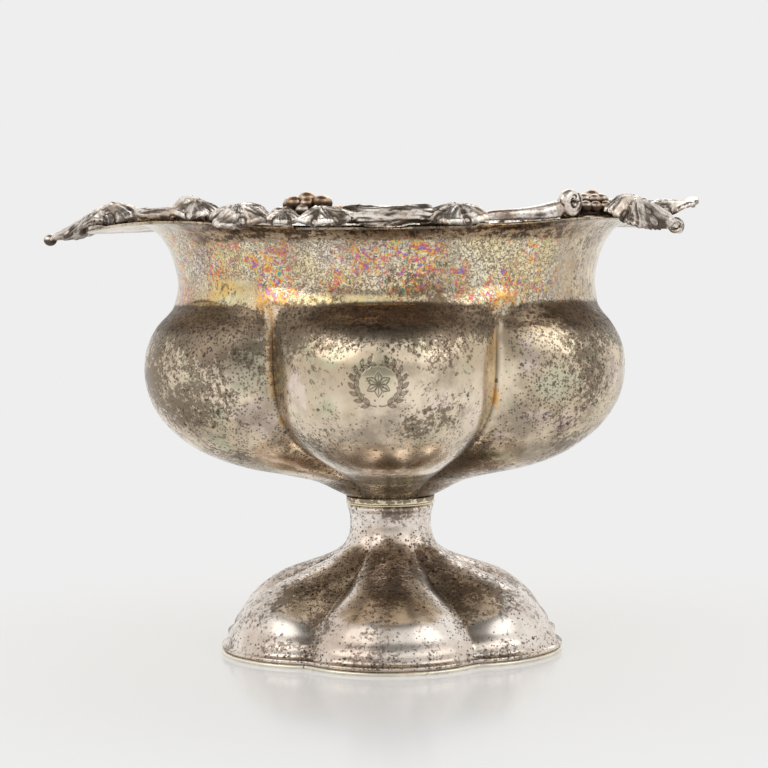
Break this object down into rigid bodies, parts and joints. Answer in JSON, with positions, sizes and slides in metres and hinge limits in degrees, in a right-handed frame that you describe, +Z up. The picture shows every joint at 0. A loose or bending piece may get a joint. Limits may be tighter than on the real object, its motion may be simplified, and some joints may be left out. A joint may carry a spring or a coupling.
{
  "type": "punch bowl",
  "caption": "Footed metal punch bowl with a deeply lobed round body, flared lip, applied leaf and grape border, and a hollow lobed foot.",
  "frame": {"origin": "on the table under the middle of the bowl, at the centre of the whole outline seen from above", "axes": "+Z up out of the bowl's mouth, +X to the right along the lip's two drawn-out ends, -Y to the front"},
  "size_m": [0.3411, 0.25, 0.2244],
  "materials": {
    "bowl_silver": "polished silver sheet under brown and iridescent tarnish",
    "foot_silver": "polished silver sheet, pinkish, with brown speckled tarnish",
    "collar_silver": "polished pale silver band",
    "wire_silver": "worn bright cream-coloured silver wire",
    "leaf_silver": "cast and chased silver, dark in the recesses",
    "grape_silver": "cast silver, orange and brown tarnish between the berries",
    "vine_silver": "cast silver with a bark texture, dark in the recesses"
  },
  "bodies": {
    "root": {"bowl_body": "bowl_silver", "foot_base_wire": "wire_silver", "foot_collar": "collar_silver", "foot_pedestal": "foot_silver", "grapes_back": "grape_silver", "grapes_back_left": "grape_silver", "grapes_front_left": "grape_silver", "grapes_right": "grape_silver", "grapes_right_end": "grape_silver", "leaf_back_curled": "leaf_silver", "leaf_back_folded": "leaf_silver", "leaf_back_left": "leaf_silver", "leaf_back_right": "leaf_silver", "leaf_back_shoulder": "leaf_silver", "leaf_front_curled": "leaf_silver", "leaf_front_folded": "leaf_silver", "leaf_front_left": "leaf_silver", "leaf_front_right": "leaf_silver", "leaf_left_back": "leaf_silver", "leaf_left_end": "leaf_silver", "leaf_left_shoulder": "leaf_silver", "leaf_right_back": "leaf_silver", "leaf_right_front": "leaf_silver", "tendril_back_left": "vine_silver", "tendril_right": "vine_silver", "vine_back": "vine_silver", "vine_back_left": "vine_silver", "vine_front": "vine_silver", "vine_front_right": "vine_silver", "vine_left": "vine_silver", "vine_left_back": "vine_silver", "vine_right_back": "vine_silver"}
  },
  "joints": []
}
